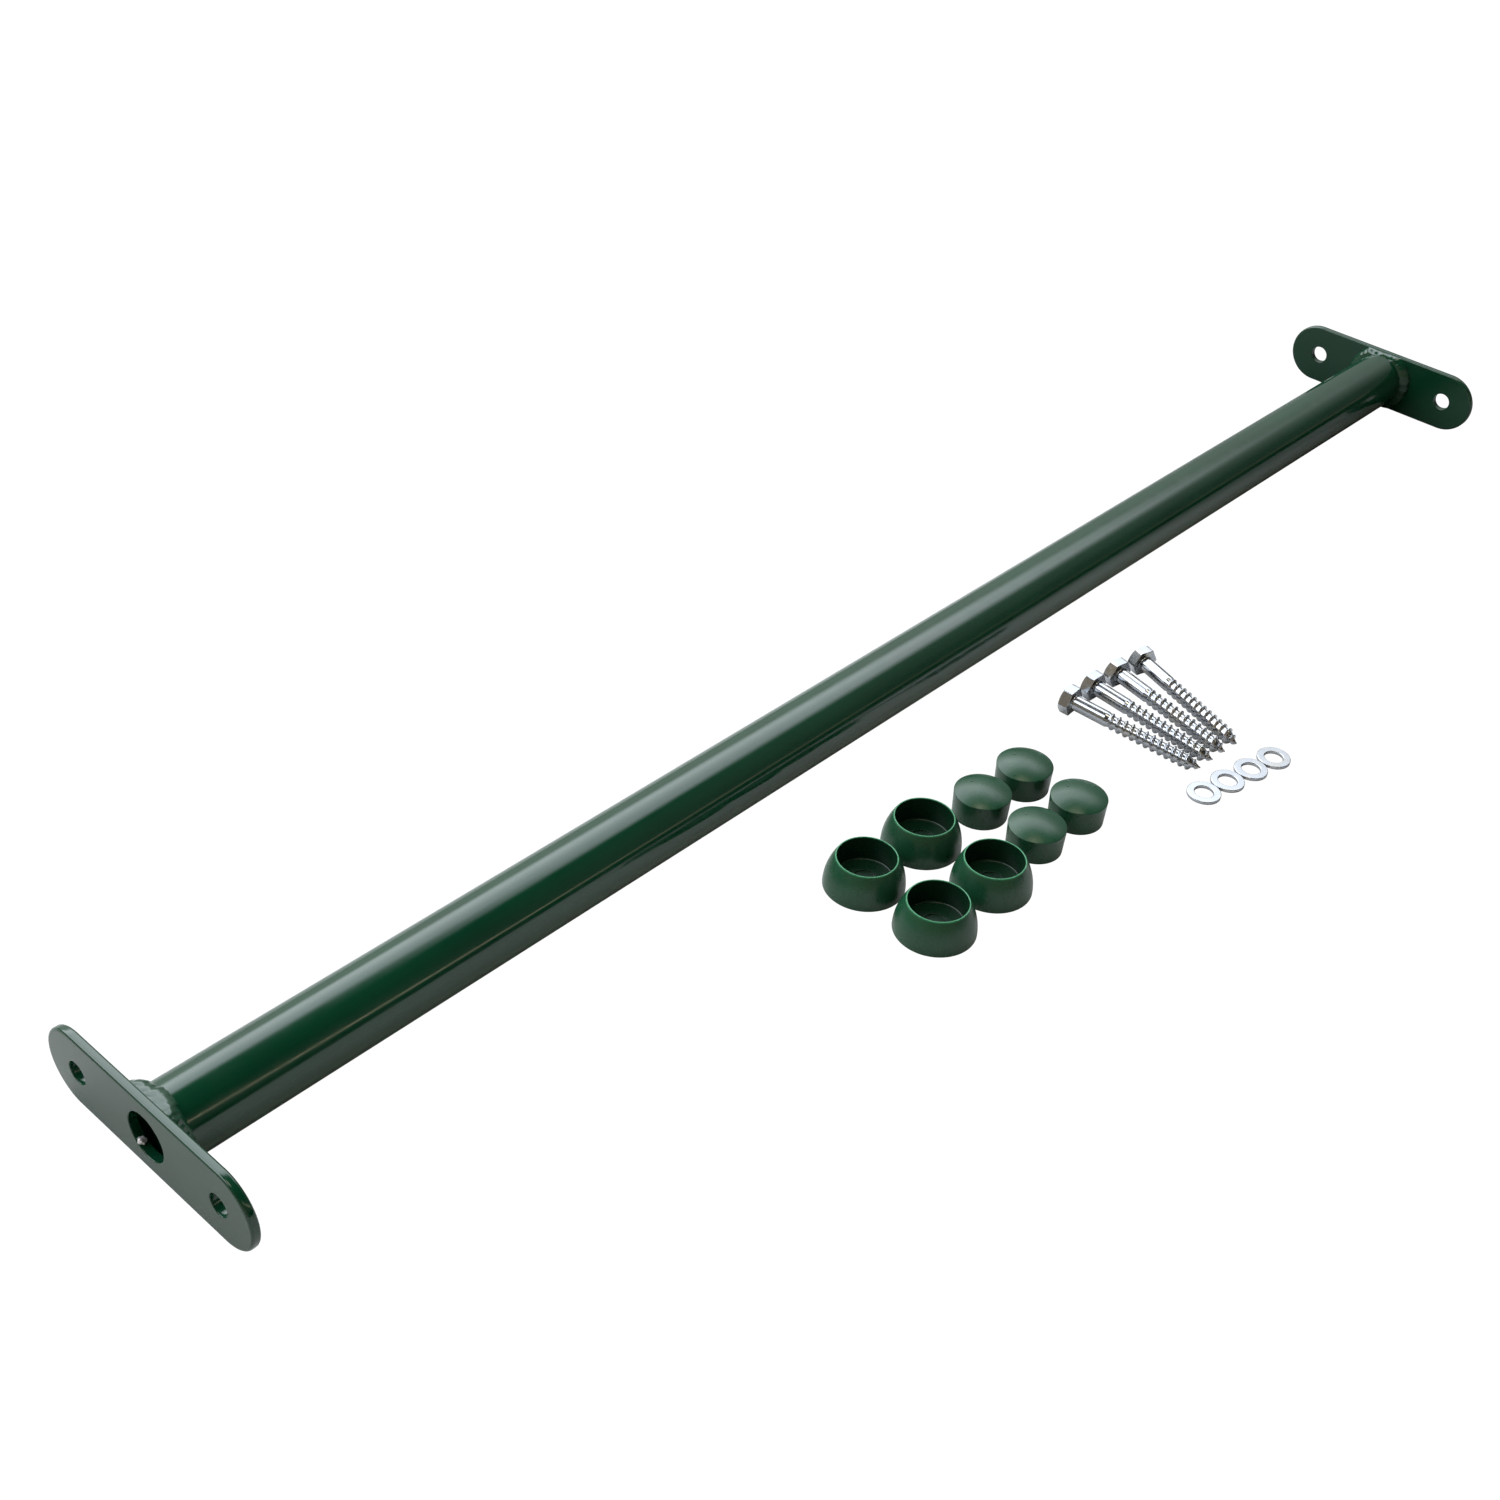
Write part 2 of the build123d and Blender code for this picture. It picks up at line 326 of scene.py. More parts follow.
def turned(name, outline, segments, place, closed=True):
    """Turn an outline of (radius, height) points about its height axis into a mesh piece."""
    shape = bmesh.new()
    rings = []
    for r, z in outline:
        if r < 1e-7:
            rings.append([shape.verts.new((0, 0, z))] * segments)
            continue
        turns = [2 * math.pi * step / segments for step in range(segments)]
        rings.append([shape.verts.new((r * math.cos(turn), r * math.sin(turn), z)) for turn in turns])
    next_rings = rings[1:] + rings[:1] if closed else rings[1:]
    for lower, upper in zip(rings, next_rings):
        for step in range(segments):
            after = (step + 1) % segments
            loop = [lower[step], lower[after], upper[after], upper[step]]
            unique = list(dict.fromkeys(loop))
            if len(unique) > 2:
                shape.faces.new(unique)
    return piece_from(name, shape, place)


def piece_from(name, shape, place):
    """Finish a bmesh as a smooth-shaded piece whose place is in its mesh."""
    bmesh.ops.remove_doubles(shape, verts=shape.verts, dist=1e-7)
    bmesh.ops.recalc_face_normals(shape, faces=shape.faces)
    mesh = bpy.data.meshes.new(name)
    shape.to_mesh(mesh)
    shape.free()
    mesh.transform(place)
    mesh.shade_smooth()
    mesh.set_sharp_from_angle(angle=math.radians(40))
    piece = bpy.data.objects.new(name, mesh)
    scene.collection.objects.link(piece)
    weighting = piece.modifiers.new("face_weighting", "WEIGHTED_NORMAL")
    weighting.keep_sharp = True
    return piece


def stands_for(piece, node, body, material):
    """Give a piece its finish and let it ride in place of one CAD node."""
    piece.data.materials.append(material)
    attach(piece, body)
    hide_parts(node)


def shader(name):
    """A new material with a Principled shader, its tree and that shader."""
    material = bpy.data.materials.new(name)
    material.use_nodes = True
    return material, material.node_tree, material.node_tree.nodes["Principled BSDF"]


# Gloss polyester powder coat: deep green, baked to a wet-looking skin with faint orange peel.
powder_coat, tree, skin = shader("gloss_polyester_powder_coat")
where = add(tree, "ShaderNodeTexCoord").outputs["Object"]
tint = blend(tree, speckle(tree, where, 38, 3.0), linear(COAT_GREEN_DEEP), linear(COAT_GREEN))
tree.links.new(tint, skin.inputs["Base Color"])
haze = speckle(tree, where, 9, 4.0)
haze_level = add(tree, "ShaderNodeMapRange", haze, 0.3, 0.7, COAT_ROUGHNESS - 0.03, COAT_ROUGHNESS + 0.04)
tree.links.new(haze_level.outputs[0], skin.inputs["Roughness"])
peel_bump = relief(tree, speckle(tree, where, ORANGE_PEEL_MM, 1.0), 0.35, 0.00002)
tree.links.new(peel_bump.outputs[0], skin.inputs["Normal"])
skin.inputs["IOR"].default_value = 1.5

tube_low, tube_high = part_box("tube")
tube_radius = tube_high.z
tube_outline = rounded(
    [
        (TUBE_BORE_RADIUS, tube_low.x, TUBE_END_ROUND),
        (tube_radius, tube_low.x, TUBE_END_ROUND),
        (tube_radius, tube_high.x, TUBE_END_ROUND),
        (TUBE_BORE_RADIUS, tube_high.x, TUBE_END_ROUND),
    ],
    steps=2,
)
along_x = Matrix.Rotation(math.pi / 2, 4, "Y")
tube = turned("tube_rung", tube_outline, TUBE_SEGMENTS, along_x)
stands_for(tube, "tube", "bar", powder_coat)

# ---- end plates --------------------------------------------------------------------------------
# Steel flat bar, cut to length with round ends and drilled. Two holes take the coach screws, and
# the larger middle one opens the tube to drain. The coat softens every edge.
PLATE_EDGE = 0.0012
HOLE_EDGE = 0.0004
BOLT_HOLE_RADIUS = 0.005
BOLT_HOLE_OFFSET = 0.0425
VENT_HOLE_RADIUS = 0.0105
ARC_STEPS = 40


def round_ended(half_length, half_width, inset):
    """Points round a flat bar with half-round ends, moved in by an inset."""
    radius = half_width - inset
    points = []
    for side in (1, -1):
        for step in range(ARC_STEPS + 1):
            angle = math.pi * (step / ARC_STEPS - 0.5)
            y = side * (half_length - half_width + radius * math.cos(angle))
            points.append((y, side * radius * math.sin(angle)))
    return points


def ring(centre_y, radius):
    """Points round a hole that lies on the plate's long axis."""
    steps = 2 * ARC_STEPS
    turns = [2 * math.pi * step / steps for step in range(steps)]
    return [(centre_y + radius * math.cos(turn), radius * math.sin(turn)) for turn in turns]


def edge_rows(thickness, edge, steps=5):
    """(inset, depth) of the rows of points down a wall whose two edges are rounded."""
    quarter = [math.pi / 2 * step / steps for step in range(steps + 1)]
    near = [(edge * (1 - math.sin(angle)), edge * (1 - math.cos(angle))) for angle in quarter]
    return near + [(inset, thickness - depth) for inset, depth in reversed(near)]


def drilled_plate(name, low, high):
    """A flat bar between two corners of its box, with its three holes."""
    thickness = high.x - low.x
    shape = bmesh.new()
    walls = [(lambda inset: round_ended(high.y, high.z, inset), PLATE_EDGE)]
    for offset in (-BOLT_HOLE_OFFSET, BOLT_HOLE_OFFSET):
        walls.append((lambda inset, y=offset: ring(y, BOLT_HOLE_RADIUS + inset), HOLE_EDGE))
    walls.append((lambda inset: ring(0.0, VENT_HOLE_RADIUS + inset), HOLE_EDGE))
    faces_at = {0: [], -1: []}
    for outline_at, edge in walls:
        rows = []
        for inset, depth in edge_rows(thickness, edge):
            rows.append([shape.verts.new((low.x + depth, y, z)) for y, z in outline_at(inset)])
        for upper, lower in zip(rows, rows[1:]):
            for index in range(len(upper)):
                after = (index + 1) % len(upper)
                shape.faces.new((upper[index], upper[after], lower[after], lower[index]))
        for which, loops in faces_at.items():
            row = rows[which]
            loops += [shape.edges.get((row[i], row[(i + 1) % len(row)])) for i in range(len(row))]
    for loops in faces_at.values():
        bmesh.ops.triangle_fill(shape, use_beauty=True, edges=loops)
    return piece_from(name, shape, Matrix.Identity(4))


for side in ("left", "right"):
    plate = drilled_plate(f"end_plate_{side}_coated", *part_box(f"end_plate_{side}"))
    stands_for(plate, f"end_plate_{side}", "bar", powder_coat)

# A small bright lump on the wall of the left plate's middle hole, taken to be the mark of the hook
# that the bar hung from in the coating oven.
HOOK_MARK_RADIUS = 0.0017
HOOK_MARK_PLACE = (0.0019, 0.0066, -0.0084)
HOOK_MARK_LUMPS = 0.35
HOOK_MARK_LUMP_SCALE = 700.0
HOOK_MARK_LUMP_START = Vector((3.1, 0.7, 5.2))
STEEL_PALE = "f8f6f6"
STEEL_GREY = "b4aeb0"

# Bare steel with some scale left on it: pale and half dull, so that it catches any light.
bare_steel, tree, skin = shader("bare_steel")
where = add(tree, "ShaderNodeTexCoord").outputs["Object"]
tone = blend(tree, speckle(tree, where, 1.2, 3.0), linear(STEEL_GREY), linear(STEEL_PALE))
tree.links.new(tone, skin.inputs["Base Color"])
skin.inputs["Metallic"].default_value = 0.5
skin.inputs["Roughness"].default_value = 0.45
shape = bmesh.new()
bmesh.ops.create_icosphere(shape, subdivisions=4, radius=HOOK_MARK_RADIUS)
for vertex in shape.verts:
    lumps = noise.noise(vertex.co * HOOK_MARK_LUMP_SCALE + HOOK_MARK_LUMP_START)
    vertex.co *= 1 + HOOK_MARK_LUMPS * lumps
left_face = Vector((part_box("end_plate_left")[0].x, 0, 0))
hook_mark = piece_from("hook_mark", shape, Matrix.Translation(left_face + Vector(HOOK_MARK_PLACE)))
hook_mark.data.materials.append(bare_steel)
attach(hook_mark, "bar")
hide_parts("end_plate_left")

# ---- weld beads --------------------------------------------------------------------------------
# One MIG fillet run round each end of the tube, laid in short overlapping puddles and coated
# over. It is widest at the sides and melts over the plate's narrow edges above and below.
WELD_STEPS = (480, 40)
WELD_START_RADIUS = 0.002
WELD_SEED = (1.3, 5.1)
WELD_PUDDLES = 26
WELD_PUDDLE_BOW = 0.16
WELD_PUDDLE_JITTER = 0.5
WELD_WANDER = (0.88, 1.08)
WELD_WANDER_SCALE = (1.6, 1.6, 1.6)
WELD_RIPPLE = (0.00016, 0.0001)
WELD_LUMP = (0.0006, 0.00025)
WELD_LUMP_MM = 4.5
WELD_LEG_ON_TUBE = (0.0060, 0.0046)
WELD_LEG_ON_PLATE = 0.0044
WELD_LEG_SOFTNESS = 0.001
WELD_FULLNESS = 1.6
WELD_SINK = 0.00005
WELD_RUN_OUT_ON_TUBE = 0.0008
WELD_RUN_OUT_ON_PLATE = 0.0006
WELD_RUN_OUT_AT_EDGE = 0.0003
WELD_SPILL_BAND = 0.0014
WELD_SPILL = (-0.00005, -0.0013)


def weld_tree():
    """Geometry nodes for one bead: a ring of metal about X whose plate side is at X = 0."""
    tree = bpy.data.node_groups.new("fillet_weld", "GeometryNodeTree")
    sizes = ("Tube Radius", "Leg On Tube", "Leg On Plate", "Ripple", "Lump", "Half Height", "Sink")
    for size in sizes:
        tree.interface.new_socket(size, in_out="INPUT", socket_type="NodeSocketFloat")
    tree.interface.new_socket("Puddles", in_out="INPUT", socket_type="NodeSocketInt")
    tree.interface.new_socket("Seed", in_out="INPUT", socket_type="NodeSocketFloat")
    tree.interface.new_socket("Coat", in_out="INPUT", socket_type="NodeSocketMaterial")
    tree.interface.new_socket("Geometry", in_out="OUTPUT", socket_type="NodeSocketGeometry")
    given = add(tree, "NodeGroupInput").outputs
    # a plain ring of round section, turned so that its axis is X
    rings = []
    for steps, radius in zip(WELD_STEPS, (given["Tube Radius"], WELD_START_RADIUS)):
        size = {"Resolution": steps, "Radius": radius}
        rings.append(add(tree, "GeometryNodeCurvePrimitiveCircle", named=size))
    path, section = rings
    swept = add(tree, "GeometryNodeCurveToMesh", path, section)
    upright = add(tree, "GeometryNodeTransform", swept, named={"Rotation": degrees(0, 90, 0)})
    # where each point is: turn about the tube, and turn about the bead's own root
    at = add(tree, "GeometryNodeInputPosition")
    x, y, z = add(tree, "ShaderNodeSeparateXYZ", at).outputs
    flat = add(tree, "ShaderNodeCombineXYZ", 0.0, y, z)
    out = add(tree, "ShaderNodeVectorMath", flat, operation="LENGTH").outputs["Value"]
    turn = add(tree, "ShaderNodeMath", z, y, operation="ARCTAN2")
    outward = add(tree, "ShaderNodeVectorMath", flat, operation="NORMALIZE")
    above = add(tree, "ShaderNodeMath", out, given["Tube Radius"], operation="SUBTRACT")
    lean = add(tree, "ShaderNodeMath", above, x, operation="ARCTAN2")
    # slow wander of the two legs along the bead
    wander_at = add(tree, "ShaderNodeVectorMath", outward, WELD_WANDER_SCALE, operation="MULTIPLY")
    wander = add(
        tree,
        "ShaderNodeTexNoise",
        noise_dimensions="4D",
        named={"Vector": wander_at, "W": given["Seed"], "Scale": 1.0, "Detail": 2.0},
    )
    wide = add(tree, "ShaderNodeMapRange", wander, 0.3, 0.7, *WELD_WANDER)
    lump = add(
        tree,
        "ShaderNodeTexNoise",
        noise_dimensions="4D",
        named={"Vector": at, "W": given["Seed"], "Scale": per_metre(WELD_LUMP_MM), "Detail": 1.5},
    )
    lump_size = add(tree, "ShaderNodeMath", lump, 0.5, operation="SUBTRACT")
    # the bead is lower where the plate is narrow, above and below the tube
    upward = add(tree, "ShaderNodeSeparateXYZ", outward)
    steep = add(tree, "ShaderNodeMath", upward.outputs[2], operation="ABSOLUTE")
    steep_enough = add(tree, "ShaderNodeMath", steep, 0.1, operation="MAXIMUM")
    edge_out = add(tree, "ShaderNodeMath", given["Half Height"], steep_enough, operation="DIVIDE")
    free = add(tree, "ShaderNodeMath", edge_out, given["Tube Radius"], operation="SUBTRACT")
    legs = (given["Leg On Plate"], free)
    plate_leg = add(tree, "ShaderNodeMath", *legs, WELD_LEG_SOFTNESS, operation="SMOOTH_MIN")
    # bead section: a fullness of 1 is a straight fillet and 2 is a quarter ellipse
    cosine = add(tree, "ShaderNodeMath", lean, operation="COSINE")
    sine = add(tree, "ShaderNodeMath", lean, operation="SINE")
    reach = []
    for side, leg in ((cosine, given["Leg On Tube"]), (sine, plate_leg)):
        share = add(tree, "ShaderNodeMath", side, leg, operation="DIVIDE")
        size = add(tree, "ShaderNodeMath", share, operation="ABSOLUTE")
        reach.append(add(tree, "ShaderNodeMath", size, WELD_FULLNESS, operation="POWER"))
    total = add(tree, "ShaderNodeMath", *reach, operation="ADD")
    plain = add(tree, "ShaderNodeMath", total, -1 / WELD_FULLNESS, operation="POWER")
    leg = add(tree, "ShaderNodeMath", plain, wide, operation="MULTIPLY")
    # overlapping puddles, bowed back at the toes, and slower lumps
    lag = add(tree, "ShaderNodeMath", lean, math.pi / 4, operation="SUBTRACT")
    bow = add(tree, "ShaderNodeMath", lag, lag, operation="MULTIPLY")
    bowed = add(tree, "ShaderNodeMath", bow, WELD_PUDDLE_BOW, turn, operation="MULTIPLY_ADD")
    jitter = add(tree, "ShaderNodeMath", wander, WELD_PUDDLE_JITTER, bowed, operation="MULTIPLY_ADD")
    phase = add(tree, "ShaderNodeMath", jitter, given["Puddles"], operation="MULTIPLY")
    half = add(tree, "ShaderNodeMath", phase, 0.5, operation="MULTIPLY")
    wave = add(tree, "ShaderNodeMath", half, operation="SINE")
    crest = add(tree, "ShaderNodeMath", wave, wave, operation="MULTIPLY")
    rippled = add(tree, "ShaderNodeMath", crest, given["Ripple"], leg, operation="MULTIPLY_ADD")
    lump_rise = add(tree, "ShaderNodeMath", given["Lump"], 4.0, operation="MULTIPLY")
    fill = add(tree, "ShaderNodeMath", lump_size, lump_rise, rippled, operation="MULTIPLY_ADD")
    # back to a place, run out softly on tube and plate and over the plate's narrow edges
    rise = add(tree, "ShaderNodeMath", fill, sine, given["Tube Radius"], operation="MULTIPLY_ADD")
    under = add(tree, "ShaderNodeMath", given["Tube Radius"], given["Sink"], operation="SUBTRACT")
    on_tube = add(tree, "ShaderNodeMath", rise, under, WELD_RUN_OUT_ON_TUBE, operation="SMOOTH_MAX")
    spread = add(tree, "ShaderNodeVectorMath", outward, operation="SCALE")
    tree.links.new(on_tube.outputs[0], spread.inputs["Scale"])
    spread_at = add(tree, "ShaderNodeSeparateXYZ", spread).outputs
    highest = add(tree, "ShaderNodeMath", given["Half Height"], given["Sink"], operation="SUBTRACT")
    over = add(tree, "ShaderNodeMath", spread_at[2], highest, WELD_RUN_OUT_AT_EDGE, operation="SMOOTH_MIN")
    lowest = add(tree, "ShaderNodeMath", highest, -1.0, operation="MULTIPLY")
    dressed = add(tree, "ShaderNodeMath", over, lowest, WELD_RUN_OUT_AT_EDGE, operation="SMOOTH_MAX")
    height = add(tree, "ShaderNodeMath", dressed, operation="ABSOLUTE")
    near_edge = add(tree, "ShaderNodeMath", given["Half Height"], WELD_SPILL_BAND, operation="SUBTRACT")
    spill = add(tree, "ShaderNodeMapRange", height, near_edge, highest, *WELD_SPILL)
    forward = add(tree, "ShaderNodeMath", fill, cosine, operation="MULTIPLY")
    on_plate = add(tree, "ShaderNodeMath", forward, spill, WELD_RUN_OUT_ON_PLATE, operation="SMOOTH_MAX")
    final = add(tree, "ShaderNodeCombineXYZ", on_plate, spread_at[1], dressed)
    shaped = add(tree, "GeometryNodeSetPosition", upright, named={"Position": final})
    real = add(tree, "GeometryNodeRealizeInstances", shaped)
    coated = add(tree, "GeometryNodeSetMaterial", real, named={"Material": given["Coat"]})
    add(tree, "NodeGroupOutput", coated)
    return tree


def grown(name, tree, sizes):
    """Run a geometry-nodes tree with the given inputs and return its result as a plain mesh."""
    seed_mesh = bpy.data.meshes.new(name + "_start")
    host = bpy.data.objects.new(name + "_start", seed_mesh)
    scene.collection.objects.link(host)
    modifier = host.modifiers.new("grow", "NODES")
    modifier.node_group = tree
    for item in tree.interface.items_tree:
        if item.in_out == "INPUT" and item.name in sizes:
            modifier[item.identifier] = sizes[item.name]
    graph = bpy.context.evaluated_depsgraph_get()
    mesh = bpy.data.meshes.new_from_object(host.evaluated_get(graph), depsgraph=graph)
    bpy.data.objects.remove(host)
    bpy.data.meshes.remove(seed_mesh)
    return mesh


fillet_weld = weld_tree()
for order, (side, toward_middle) in enumerate((("left", 1), ("right", -1))):
    weld_low, weld_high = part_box(f"weld_{side}")
    plate_x = weld_low.x if side == "left" else weld_high.x
    bead = grown(
        f"weld_{side}",
        fillet_weld,
        {
            "Tube Radius": tube_radius,
            "Leg On Tube": WELD_LEG_ON_TUBE[order],
            "Leg On Plate": WELD_LEG_ON_PLATE,
            "Ripple": WELD_RIPPLE[order],
            "Lump": WELD_LUMP[order],
            "Half Height": weld_high.z,
            "Sink": WELD_SINK,
            "Puddles": WELD_PUDDLES,
            "Seed": WELD_SEED[order],
            "Coat": powder_coat,
        },
    )
    shape = bmesh.new()
    shape.from_mesh(bead)
    place = Matrix.Translation((plate_x, 0, 0)) @ Matrix.Scale(toward_middle, 4, (1, 0, 0))
    weld = piece_from(f"weld_{side}_bead", shape, place)
    if toward_middle < 0:
        weld.data.flip_normals()
    stands_for(weld, f"weld_{side}", "bar", powder_coat)

# ---- coach screws ------------------------------------------------------------------------------
# M8 hexagon-head coach screws: cold-headed wire with a rolled wood thread, zinc plated bright.
# Each lies on one flat of its head and on its thread.
HEAD_FLATS = 0.013
HEAD_HEIGHT = 0.0055
HEAD_TOP_RADIUS = 0.475 * HEAD_FLATS
HEAD_CHAMFER = math.radians(30)
HEAD_CORNER_LEFT = 0.99
HEAD_FILLET = 0.0005
HEAD_EDGE = 0.0002
SCREW_LENGTH = 0.070
SHANK_LENGTH = 0.018
SHANK_RADIUS = 0.0038
THREAD_RADIUS = 0.004
CORE_RADIUS = 0.0028
THREAD_PITCH = 0.0038
THREAD_CREST = 0.00032
THREAD_FLANK = 0.0009
THREAD_FORM_POWER = 0.8
THREAD_RUN_IN = 1.1
THREAD_WEAR = (-0.95, -0.2)
THREAD_WEAR_LEFT = 0.3
POINT_LENGTH = 0.0065
THREAD_ROWS = 22
THREAD_SEGMENTS = 48
SCREW_TIP_START = (0.0298, -0.1340)
SCREW_TIP_PITCH = 0.0098
SCREW_TIP_ROW_TURN = -3.5
SCREW_HEADING = -86.9
SCREW_HEADING_STEP = -6.89
ZINC = "acadaf"
ZINC_SHADE = "9aa0a8"
ZINC_WARM = "aca799"

# Bright zinc plate: grey metal with a faint blue and straw cast, and duller patches that break up
# its gloss.
zinc_plate, tree, skin = shader("bright_zinc_plate")
where = add(tree, "ShaderNodeTexCoord").outputs["Object"]
cool = blend(tree, speckle(tree, where, 5, 3.0), linear(ZINC_SHADE), linear(ZINC))
straw = speckle(tree, where, 11, 1.0)
straw_share = add(tree, "ShaderNodeMapRange", straw, 0.52, 0.72, 0.0, 0.45)
tree.links.new(blend(tree, straw_share, cool, linear(ZINC_WARM)), skin.inputs["Base Color"])
skin.inputs["Metallic"].default_value = 1.0
dull = speckle(tree, where, 2.2, 4.0)
dull_level = add(tree, "ShaderNodeMapRange", dull, 0.3, 0.7, 0.15, 0.23)
tree.links.new(dull_level.outputs[0], skin.inputs["Roughness"])
grit_bump = relief(tree, speckle(tree, where, 0.5, 2.0), 0.15, 0.00001)
tree.links.new(grit_bump.outputs[0], skin.inputs["Normal"])


def thread_tree():
    """Geometry nodes for a wood thread: rows follow the helix from the shank to the point."""
    tree = bpy.data.node_groups.new("wood_thread", "GeometryNodeTree")
    lengths = ("Start", "End", "Pitch", "Crest", "Flank", "Point")
    radii = ("Shank Radius", "Thread Radius", "Core Radius")
    for size in lengths + radii:
        tree.interface.new_socket(size, in_out="INPUT", socket_type="NodeSocketFloat")
    for count in ("Rows Per Turn", "Segments"):
        tree.interface.new_socket(count, in_out="INPUT", socket_type="NodeSocketInt")
    tree.interface.new_socket("Plating", in_out="INPUT", socket_type="NodeSocketMaterial")
    tree.interface.new_socket("Geometry", in_out="OUTPUT", socket_type="NodeSocketGeometry")
    given = add(tree, "NodeGroupInput").outputs
    # a flat grid: its first side runs along the helix in turns, its second once round the screw
    span = add(tree, "ShaderNodeMath", given["End"], given["Start"], operation="SUBTRACT")
    laps = add(tree, "ShaderNodeMath", span, given["Pitch"], operation="DIVIDE")
    turns = add(tree, "ShaderNodeMath", laps, 1.0, operation="ADD")
    row_count = add(tree, "ShaderNodeMath", turns, given["Rows Per Turn"], operation="MULTIPLY")
    rows = add(tree, "ShaderNodeMath", row_count, operation="CEIL")
    row_points = add(tree, "ShaderNodeMath", rows, 1.0, operation="ADD")
    round_points = add(tree, "ShaderNodeMath", given["Segments"], 1.0, operation="ADD")
    sheet = add(
        tree,
        "GeometryNodeMeshGrid",
        named={"Size X": 1.0, "Size Y": 1.0, "Vertices X": row_points, "Vertices Y": round_points},
    )
    place = add(tree, "ShaderNodeSeparateXYZ", add(tree, "GeometryNodeInputPosition"))
    along = add(tree, "ShaderNodeMath", place.outputs[0], 0.5, operation="ADD")
    row = add(tree, "ShaderNodeMath", along, rows, operation="MULTIPLY")
    lap = add(tree, "ShaderNodeMath", row, given["Rows Per Turn"], operation="DIVIDE")
    share = add(tree, "ShaderNodeMath", place.outputs[1], 0.5, operation="ADD")
    turn = add(tree, "ShaderNodeMath", share, 2 * math.pi, operation="MULTIPLY")
    climbed = add(tree, "ShaderNodeMath", lap, share, operation="ADD")
    climb = add(tree, "ShaderNodeMath", climbed, 1.0, operation="SUBTRACT")
    free_height = add(tree, "ShaderNodeMath", climb, given["Pitch"], given["Start"], operation="MULTIPLY_ADD")
    capped = add(tree, "ShaderNodeMath", free_height, given["End"], operation="MINIMUM")
    height = add(tree, "ShaderNodeMath", capped, given["Start"], operation="MAXIMUM")
    # thread form across one pitch: 0 on the crest, 1 on the root
    phase = add(tree, "ShaderNodeMath", lap, operation="FRACT")
    off_crest = add(tree, "ShaderNodeMath", phase, 0.5, operation="SUBTRACT")
    off_size = add(tree, "ShaderNodeMath", off_crest, operation="ABSOLUTE")
    aside = add(tree, "ShaderNodeMath", off_size, given["Pitch"], operation="MULTIPLY")
    crest_half = add(tree, "ShaderNodeMath", given["Crest"], 0.5, operation="MULTIPLY")
    foot = add(tree, "ShaderNodeMath", crest_half, given["Flank"], operation="ADD")
    groove = add(tree, "ShaderNodeMapRange", aside, crest_half, foot, 0.0, 1.0)
    rolled = add(tree, "ShaderNodeMath", groove, THREAD_FORM_POWER, operation="POWER")
    # the groove starts shallow in the shank; crest and core run down to the point's cone
    run_in = (given["Pitch"], THREAD_RUN_IN, given["Start"])
    second_lap = add(tree, "ShaderNodeMath", *run_in, operation="MULTIPLY_ADD")
    depth = add(tree, "ShaderNodeMapRange", height, given["Start"], second_lap, 0.0, 1.0)
    growth = (given["Shank Radius"], given["Thread Radius"])
    full = add(tree, "ShaderNodeMapRange", height, given["Start"], second_lap, *growth)
    point_start = add(tree, "ShaderNodeMath", given["End"], given["Point"], operation="SUBTRACT")
    wear_start, crest_end = (
        add(tree, "ShaderNodeMath", given["Point"], share_of_point, given["End"], operation="MULTIPLY_ADD")
        for share_of_point in THREAD_WEAR
    )
    cone = add(tree, "ShaderNodeMapRange", height, point_start, given["End"], given["Core Radius"], 0.0)
    worn = add(tree, "ShaderNodeMapRange", height, wear_start, crest_end, 1.0, THREAD_WEAR_LEFT)
    crest_line = add(tree, "ShaderNodeMath", full, worn, operation="MULTIPLY")
    tip_fade = add(tree, "ShaderNodeMapRange", height, crest_end, given["End"], 1.0, 0.0)
    crest_past = add(tree, "ShaderNodeMath", crest_line, tip_fade, operation="MULTIPLY")
    crest = add(tree, "ShaderNodeMath", crest_past, cone, operation="MAXIMUM")
    cut = add(tree, "ShaderNodeMath", crest, cone, operation="SUBTRACT")
    cut_depth = add(tree, "ShaderNodeMath", cut, depth, operation="MULTIPLY")
    cut_here = add(tree, "ShaderNodeMath", cut_depth, rolled, operation="MULTIPLY")
    radius = add(tree, "ShaderNodeMath", crest, cut_here, operation="SUBTRACT")
    across = add(tree, "ShaderNodeMath", turn, operation="COSINE")
    up = add(tree, "ShaderNodeMath", turn, operation="SINE")
    x = add(tree, "ShaderNodeMath", radius, across, operation="MULTIPLY")
    y = add(tree, "ShaderNodeMath", radius, up, operation="MULTIPLY")
    final = add(tree, "ShaderNodeCombineXYZ", x, y, height)
    wrapped = add(tree, "GeometryNodeSetPosition", sheet, named={"Position": final})
    joined = add(tree, "GeometryNodeMergeByDistance", wrapped, named={"Distance": 1e-6})
    real = add(tree, "GeometryNodeRealizeInstances", joined)
    plated = add(tree, "GeometryNodeSetMaterial", real, named={"Material": given["Plating"]})
    add(tree, "NodeGroupOutput", plated)
    return tree


